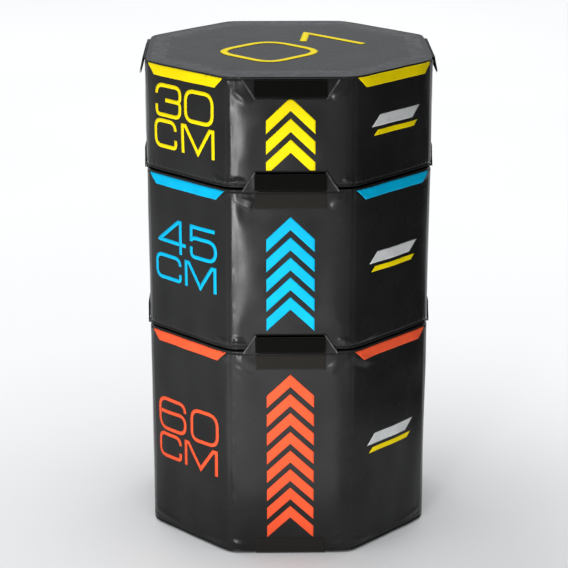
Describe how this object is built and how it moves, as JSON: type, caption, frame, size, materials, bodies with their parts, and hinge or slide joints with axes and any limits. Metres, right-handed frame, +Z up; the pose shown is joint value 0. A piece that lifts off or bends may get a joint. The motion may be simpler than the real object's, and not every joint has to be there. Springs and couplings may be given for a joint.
{
  "type": "plyo box",
  "caption": "Stack of octagonal soft plyo boxes: foam blocks in sewn vinyl covers, joined by hook-and-loop flaps hinged on their top seams.",
  "frame": {"origin": "middle of the lowest box's underside", "axes": "+Z up, the front face with the chevrons towards -Y, +X to its right"},
  "size_m": [0.809, 0.809, 1.35],
  "materials": {
    "vinyl": "satin",
    "foam": "matte",
    "loop_tape": "matte",
    "hook_tape": "matte",
    "print_yellow": "satin",
    "print_blue": "satin",
    "print_red": "satin",
    "zip_fabric": "matte",
    "zip_teeth": "satin",
    "zip_metal": "satin"
  },
  "bodies": {
    "tall_box": {"tall_box_foam_core": "foam", "tall_box_cover_base": "vinyl", "tall_box_cover_wall": "vinyl", "tall_box_cover_top": "vinyl", "tall_box_print": "print_red", "tall_box_stow_tapes": "loop_tape", "tall_box_join_tapes": "loop_tape", "tall_box_flap_hems": "vinyl", "tall_box_zip_tape": "zip_fabric", "tall_box_zip_chain": "zip_teeth"},
    "tall_box_flap_front": {"tall_box_flap_front": "vinyl", "tall_box_flap_front_tapes": "hook_tape"},
    "tall_box_flap_right": {"tall_box_flap_right": "vinyl", "tall_box_flap_right_tapes": "hook_tape"},
    "tall_box_flap_back": {"tall_box_flap_back": "vinyl", "tall_box_flap_back_tapes": "hook_tape"},
    "tall_box_flap_left": {"tall_box_flap_left": "vinyl", "tall_box_flap_left_tapes": "hook_tape"},
    "tall_box_zip_slider": {"tall_box_zip_slider": "zip_metal"},
    "tall_box_zip_pull": {"tall_box_zip_pull": "zip_metal"},
    "middle_box": {"middle_box_foam_core": "foam", "middle_box_cover_base": "vinyl", "middle_box_cover_wall": "vinyl", "middle_box_cover_top": "vinyl", "middle_box_print": "print_blue", "middle_box_stow_tapes": "loop_tape", "middle_box_join_tapes": "loop_tape", "middle_box_flap_hems": "vinyl", "middle_box_zip_tape": "zip_fabric", "middle_box_zip_chain": "zip_teeth"},
    "middle_box_flap_front": {"middle_box_flap_front": "vinyl", "middle_box_flap_front_tapes": "hook_tape"},
    "middle_box_flap_right": {"middle_box_flap_right": "vinyl", "middle_box_flap_right_tapes": "hook_tape"},
    "middle_box_flap_back": {"middle_box_flap_back": "vinyl", "middle_box_flap_back_tapes": "hook_tape"},
    "middle_box_flap_left": {"middle_box_flap_left": "vinyl", "middle_box_flap_left_tapes": "hook_tape"},
    "middle_box_zip_slider": {"middle_box_zip_slider": "zip_metal"},
    "middle_box_zip_pull": {"middle_box_zip_pull": "zip_metal"},
    "small_box": {"small_box_foam_core": "foam", "small_box_cover_base": "vinyl", "small_box_cover_wall": "vinyl", "small_box_cover_top": "vinyl", "small_box_print": "print_yellow", "small_box_stow_tapes": "loop_tape", "small_box_join_tapes": "loop_tape", "small_box_flap_hems": "vinyl", "small_box_zip_tape": "zip_fabric", "small_box_zip_chain": "zip_teeth"},
    "small_box_flap_front": {"small_box_flap_front": "vinyl", "small_box_flap_front_tapes": "hook_tape"},
    "small_box_flap_right": {"small_box_flap_right": "vinyl", "small_box_flap_right_tapes": "hook_tape"},
    "small_box_flap_back": {"small_box_flap_back": "vinyl", "small_box_flap_back_tapes": "hook_tape"},
    "small_box_flap_left": {"small_box_flap_left": "vinyl", "small_box_flap_left_tapes": "hook_tape"},
    "small_box_zip_slider": {"small_box_zip_slider": "zip_metal"},
    "small_box_zip_pull": {"small_box_zip_pull": "zip_metal"}
  },
  "joints": [
    {"name": "tall_box_flap_front_hinge", "type": "hinge", "parent": "tall_box", "child": "tall_box_flap_front", "pos_m": [0, -0.392, 0.593], "axis": [1, 0, 0], "range_deg": [0, 180]},
    {"name": "tall_box_flap_right_hinge", "type": "hinge", "parent": "tall_box", "child": "tall_box_flap_right", "pos_m": [0.392, 0, 0.593], "axis": [0, 1, 0], "range_deg": [0, 180]},
    {"name": "tall_box_flap_back_hinge", "type": "hinge", "parent": "tall_box", "child": "tall_box_flap_back", "pos_m": [0, 0.392, 0.593], "axis": [-1, 0, 0], "range_deg": [0, 180]},
    {"name": "tall_box_flap_left_hinge", "type": "hinge", "parent": "tall_box", "child": "tall_box_flap_left", "pos_m": [-0.392, 0, 0.593], "axis": [0, -1, 0], "range_deg": [0, 180]},
    {"name": "tall_box_zip_slide", "type": "slide", "parent": "tall_box", "child": "tall_box_zip_slider", "axis": [0.7071, 0.7071, 0], "range_m": [0, 0.255]},
    {"name": "tall_box_zip_pull_swing", "type": "hinge", "parent": "tall_box_zip_slider", "child": "tall_box_zip_pull", "pos_m": [-0.36781, 0.19307, 0.065], "axis": [0, 0, 1], "range_deg": [0, 170]},
    {"name": "middle_box_lift", "type": "slide", "parent": "tall_box", "child": "middle_box", "axis": [0, 0, 1], "range_m": [0, 0.3]},
    {"name": "middle_box_flap_front_hinge", "type": "hinge", "parent": "middle_box", "child": "middle_box_flap_front", "pos_m": [0, -0.392, 1.043], "axis": [1, 0, 0], "range_deg": [0, 180]},
    {"name": "middle_box_flap_right_hinge", "type": "hinge", "parent": "middle_box", "child": "middle_box_flap_right", "pos_m": [0.392, 0, 1.043], "axis": [0, 1, 0], "range_deg": [0, 180]},
    {"name": "middle_box_flap_back_hinge", "type": "hinge", "parent": "middle_box", "child": "middle_box_flap_back", "pos_m": [0, 0.392, 1.043], "axis": [-1, 0, 0], "range_deg": [0, 180]},
    {"name": "middle_box_flap_left_hinge", "type": "hinge", "parent": "middle_box", "child": "middle_box_flap_left", "pos_m": [-0.392, 0, 1.043], "axis": [0, -1, 0], "range_deg": [0, 180]},
    {"name": "middle_box_zip_slide", "type": "slide", "parent": "middle_box", "child": "middle_box_zip_slider", "axis": [0.7071, 0.7071, 0], "range_m": [0, 0.255]},
    {"name": "middle_box_zip_pull_swing", "type": "hinge", "parent": "middle_box_zip_slider", "child": "middle_box_zip_pull", "pos_m": [-0.36781, 0.19307, 0.665], "axis": [0, 0, 1], "range_deg": [0, 170]},
    {"name": "small_box_lift", "type": "slide", "parent": "middle_box", "child": "small_box", "axis": [0, 0, 1], "range_m": [0, 0.3]},
    {"name": "small_box_flap_front_hinge", "type": "hinge", "parent": "small_box", "child": "small_box_flap_front", "pos_m": [0, -0.392, 1.343], "axis": [1, 0, 0], "range_deg": [-168, 12]},
    {"name": "small_box_flap_right_hinge", "type": "hinge", "parent": "small_box", "child": "small_box_flap_right", "pos_m": [0.392, 0, 1.343], "axis": [0, 1, 0], "range_deg": [-168, 12]},
    {"name": "small_box_flap_back_hinge", "type": "hinge", "parent": "small_box", "child": "small_box_flap_back", "pos_m": [0, 0.392, 1.343], "axis": [-1, 0, 0], "range_deg": [-168, 12]},
    {"name": "small_box_flap_left_hinge", "type": "hinge", "parent": "small_box", "child": "small_box_flap_left", "pos_m": [-0.392, 0, 1.343], "axis": [0, -1, 0], "range_deg": [-168, 12]},
    {"name": "small_box_zip_slide", "type": "slide", "parent": "small_box", "child": "small_box_zip_slider", "axis": [0.7071, 0.7071, 0], "range_m": [0, 0.255]},
    {"name": "small_box_zip_pull_swing", "type": "hinge", "parent": "small_box_zip_slider", "child": "small_box_zip_pull", "pos_m": [-0.36781, 0.19307, 1.115], "axis": [0, 0, 1], "range_deg": [0, 170]}
  ]
}
